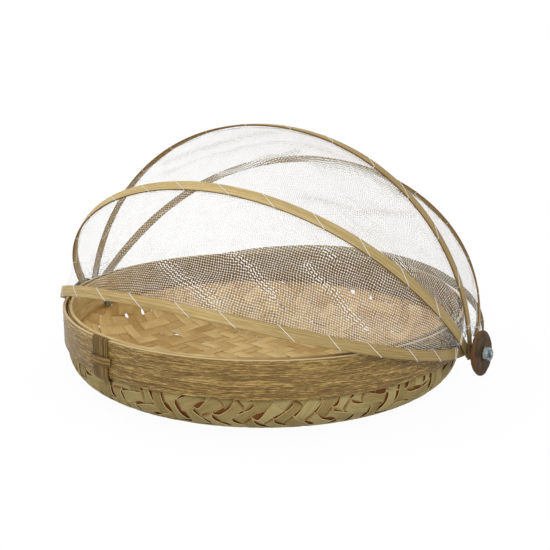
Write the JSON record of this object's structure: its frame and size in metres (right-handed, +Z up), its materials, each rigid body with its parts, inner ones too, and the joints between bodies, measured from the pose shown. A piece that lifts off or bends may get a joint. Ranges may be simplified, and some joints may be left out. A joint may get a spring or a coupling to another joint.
{
  "type": "bamboo food cover",
  "caption": "Round woven bamboo tray with bent rim bands, and a net hood on bent bamboo hoops that turn on bolts through round discs and fold to the back.",
  "frame": {"origin": "centre of the tray's flat underside, where it stands on the table", "axes": "+Z up, +X along the axis that the hoops turn about, -Y to the front, where the hood opens"},
  "size_m": [0.411, 0.3519, 0.2198],
  "materials": {
    "woven_bamboo": "matte",
    "band_bamboo": "satin",
    "liner_bamboo": "satin",
    "hoop_bamboo": "satin",
    "netting": "matte",
    "coconut_shell": "satin",
    "zinc_steel": "satin"
  },
  "bodies": {
    "tray": {"woven_base": "woven_bamboo", "outer_rim_band": "band_bamboo", "inner_rim_band": "liner_bamboo", "splice_binding": "band_bamboo", "splice_key": "band_bamboo", "pivot_bolt_right": "zinc_steel", "pivot_bolt_left": "zinc_steel", "bolt_washer_right": "zinc_steel", "bolt_washer_left": "zinc_steel", "coconut_disc_right": "coconut_shell", "coconut_disc_left": "coconut_shell", "hex_nut_right": "zinc_steel", "hex_nut_left": "zinc_steel"},
    "rear_hoop": {"hoop_5_rear": "hoop_bamboo"},
    "fourth_hoop": {"hoop_4": "hoop_bamboo", "net_4_rear": "netting"},
    "crown_hoop": {"hoop_3_crown": "hoop_bamboo", "net_3": "netting"},
    "second_hoop": {"hoop_2": "hoop_bamboo", "net_2": "netting"},
    "front_hoop": {"hoop_1_front": "hoop_bamboo", "net_1_front": "netting"}
  },
  "joints": [
    {"name": "rear_hoop_hinge", "type": "hinge", "parent": "tray", "child": "rear_hoop", "pos_m": [0, 0, 0.045], "axis": [-1, 0, 0], "range_deg": [0, 3]},
    {"name": "fourth_hoop_hinge", "type": "hinge", "parent": "rear_hoop", "child": "fourth_hoop", "pos_m": [0, 0, 0.045], "axis": [-1, 0, 0], "range_deg": [-0.5, 33], "deforming": ["net_4_rear"]},
    {"name": "crown_hoop_hinge", "type": "hinge", "parent": "fourth_hoop", "child": "crown_hoop", "pos_m": [0, 0, 0.045], "axis": [-1, 0, 0], "range_deg": [-0.5, 34], "deforming": ["net_3"]},
    {"name": "second_hoop_hinge", "type": "hinge", "parent": "crown_hoop", "child": "second_hoop", "pos_m": [0, 0, 0.045], "axis": [-1, 0, 0], "range_deg": [-0.5, 35.5], "deforming": ["net_2"]},
    {"name": "front_hoop_hinge", "type": "hinge", "parent": "second_hoop", "child": "front_hoop", "pos_m": [0, 0, 0.045], "axis": [-1, 0, 0], "range_deg": [-1, 29], "deforming": ["net_1_front"]}
  ]
}
